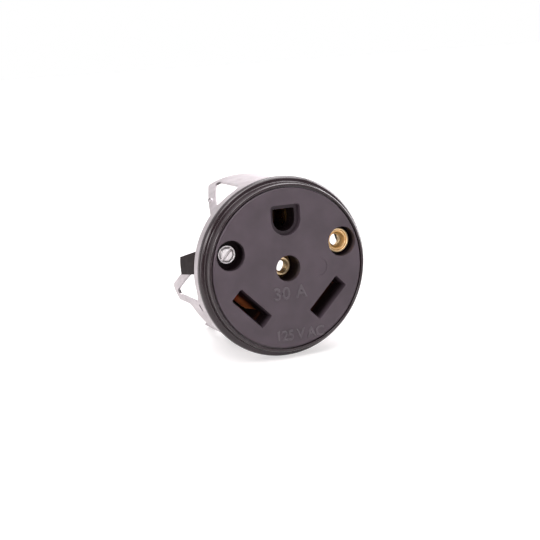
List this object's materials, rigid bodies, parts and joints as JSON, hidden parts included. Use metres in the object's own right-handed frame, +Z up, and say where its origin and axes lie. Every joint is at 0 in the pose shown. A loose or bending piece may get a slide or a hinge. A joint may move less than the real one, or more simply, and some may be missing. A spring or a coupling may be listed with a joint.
{
  "type": "power socket",
  "caption": "Round flush panel power socket with two slanted blade slots, a U-shaped ground opening, front terminal access holes and a windowed steel mounting cage behind the flange.",
  "frame": {"origin": "on the axis of the round face, in the plane of the flange's front, which seats behind the panel", "axes": "+X right and +Z up as seen from the front with the ground opening up, +Y rearward into the panel"},
  "size_m": [0.058, 0.0346, 0.058],
  "materials": {
    "gloss_black": "smooth black moulding with a soft gloss",
    "satin_black": "fine satin moulding, black",
    "dark_moulding": "plain black moulding",
    "zinc_steel": "zinc-plated sheet steel, dull and even",
    "rivet_steel": "plain plated steel",
    "screw_steel": "bright plated steel",
    "spring_steel": "blued spring steel",
    "copper": "copper alloy strip",
    "brass": "turned and stamped brass",
    "nickel": "nickel-plated brass"
  },
  "bodies": {
    "root": {"rim_ring": "gloss_black", "face_housing": "satin_black", "contact_carrier": "dark_moulding", "rear_housing": "dark_moulding", "mounting_cage": "zinc_steel", "cage_rivets": "rivet_steel", "housing_screws": "screw_steel", "hot_contact": "copper", "neutral_contact": "copper", "ground_contact": "brass", "hot_contact_spring": "spring_steel", "neutral_contact_spring": "spring_steel", "ground_contact_spring": "spring_steel", "hot_terminal_bush": "brass", "neutral_terminal_bush": "nickel", "ground_terminal_bush": "brass", "hot_wire_clamp": "brass", "neutral_wire_clamp": "nickel", "ground_wire_clamp": "brass", "neutral_clamp_screw": "nickel"}
  },
  "joints": []
}
